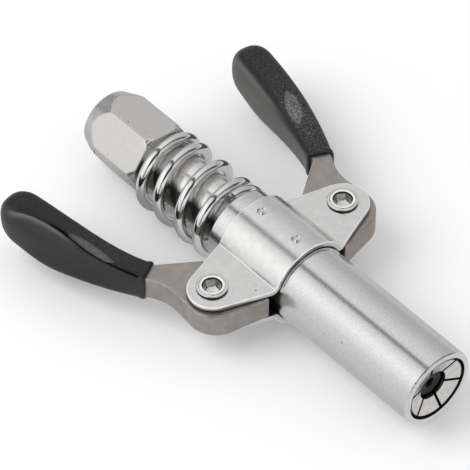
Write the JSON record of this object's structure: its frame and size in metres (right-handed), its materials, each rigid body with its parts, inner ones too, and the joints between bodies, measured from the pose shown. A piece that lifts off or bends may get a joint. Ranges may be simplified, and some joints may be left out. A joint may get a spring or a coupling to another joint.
{
  "type": "grease coupler",
  "caption": "Quick-release grease coupler with squeeze levers that draw a sprung sleeve back off gripping jaws.",
  "frame": {"origin": "centre of the inlet mouth, on the rear face of the hexagon", "axes": "+X along the coupler's axis to the nose, +Z square to the levers' plane"},
  "size_m": [0.0928, 0.068, 0.0184],
  "materials": {
    "hex_steel": "zinc plated, satin",
    "ground_steel": "ground",
    "spring_chrome": "bright plated",
    "sleeve_chrome": "brushed and chromed",
    "plate_steel": "satin plated",
    "rivet_nickel": "bright plated",
    "lever_steel": "sintered, warm grey",
    "grip_rubber": "dipped, matte",
    "jaw_steel": "hardened, machined",
    "seal_rubber": "moulded",
    "valve_brass": "turned",
    "ball_steel": "polished"
  },
  "bodies": {
    "body": {"hex_adapter": "hex_steel", "shank": "ground_steel", "main_spring": "spring_chrome", "jaw_ring": "seal_rubber", "spring_seat": "valve_brass", "seal_spring": "spring_chrome", "ball_spring": "spring_chrome"},
    "sleeve": {"outer_sleeve": "sleeve_chrome", "upper_plate": "plate_steel", "lower_plate": "plate_steel", "left_rivet": "rivet_nickel", "right_rivet": "rivet_nickel"},
    "left_handle": {"left_lever": "lever_steel", "left_grip": "grip_rubber"},
    "right_handle": {"right_lever": "lever_steel", "right_grip": "grip_rubber"},
    "jaw_1": {"jaw_1": "jaw_steel"},
    "jaw_2": {"jaw_2": "jaw_steel"},
    "jaw_3": {"jaw_3": "jaw_steel"},
    "jaw_4": {"jaw_4": "jaw_steel"},
    "jaw_5": {"jaw_5": "jaw_steel"},
    "jaw_6": {"jaw_6": "jaw_steel"},
    "seal": {"nozzle_seal": "seal_rubber", "seal_piston": "valve_brass", "piston_ring": "seal_rubber"},
    "valve": {"check_ball": "ball_steel"}
  },
  "joints": [
    {"name": "sleeve_slide", "type": "slide", "parent": "body", "child": "sleeve", "axis": [-1, 0, 0], "range_m": [0, 0.00354], "stiffness_N_per_m": 12000, "springref_m": -0.004, "deforming": ["main_spring"]},
    {"name": "left_lever_pivot", "type": "hinge", "parent": "sleeve", "child": "left_handle", "pos_m": [0.0495, 0.01648, 0], "axis": [0, 0, 1], "range_deg": [0, 20]},
    {"name": "right_lever_pivot", "type": "hinge", "parent": "sleeve", "child": "right_handle", "pos_m": [0.0495, -0.01648, 0], "axis": [0, 0, -1], "range_deg": [0, 20]},
    {"name": "jaw_1_open", "type": "hinge", "parent": "body", "child": "jaw_1", "pos_m": [0.07395, 0.00123, 0.00391], "axis": [0, -0.9537, 0.3007], "range_deg": [0, 1.5]},
    {"name": "jaw_2_open", "type": "hinge", "parent": "body", "child": "jaw_2", "pos_m": [0.07395, -0.00277, 0.00302], "axis": [0, -0.7373, -0.6756], "range_deg": [0, 1.5]},
    {"name": "jaw_3_open", "type": "hinge", "parent": "body", "child": "jaw_3", "pos_m": [0.07395, -0.004, -0.00089], "axis": [0, 0.2164, -0.9763], "range_deg": [0, 1.5]},
    {"name": "jaw_4_open", "type": "hinge", "parent": "body", "child": "jaw_4", "pos_m": [0.07395, -0.00123, -0.00391], "axis": [0, 0.9537, -0.3007], "range_deg": [0, 1.5]},
    {"name": "jaw_5_open", "type": "hinge", "parent": "body", "child": "jaw_5", "pos_m": [0.07395, 0.00277, -0.00302], "axis": [0, 0.7373, 0.6756], "range_deg": [0, 1.5]},
    {"name": "jaw_6_open", "type": "hinge", "parent": "body", "child": "jaw_6", "pos_m": [0.07395, 0.004, 0.00089], "axis": [0, -0.2164, 0.9763], "range_deg": [0, 1.5]},
    {"name": "seal_press", "type": "slide", "parent": "body", "child": "seal", "axis": [-1, 0, 0], "range_m": [0, 0.002], "stiffness_N_per_m": 1500, "springref_m": -0.002, "deforming": ["seal_spring"]},
    {"name": "valve_lift", "type": "slide", "parent": "body", "child": "valve", "axis": [1, 0, 0], "range_m": [0, 0.001], "stiffness_N_per_m": 300, "springref_m": -0.001, "deforming": ["ball_spring"]}
  ],
  "couplings": [
    {"joint": "left_lever_pivot", "follows": "sleeve_slide", "rad_per_m": 98.6},
    {"joint": "right_lever_pivot", "follows": "sleeve_slide", "rad_per_m": 98.6},
    {"joint": "jaw_1_open", "follows": "sleeve_slide", "rad_per_m": 7.39},
    {"joint": "jaw_2_open", "follows": "sleeve_slide", "rad_per_m": 7.39},
    {"joint": "jaw_3_open", "follows": "sleeve_slide", "rad_per_m": 7.39},
    {"joint": "jaw_4_open", "follows": "sleeve_slide", "rad_per_m": 7.39},
    {"joint": "jaw_5_open", "follows": "sleeve_slide", "rad_per_m": 7.39},
    {"joint": "jaw_6_open", "follows": "sleeve_slide", "rad_per_m": 7.39}
  ]
}
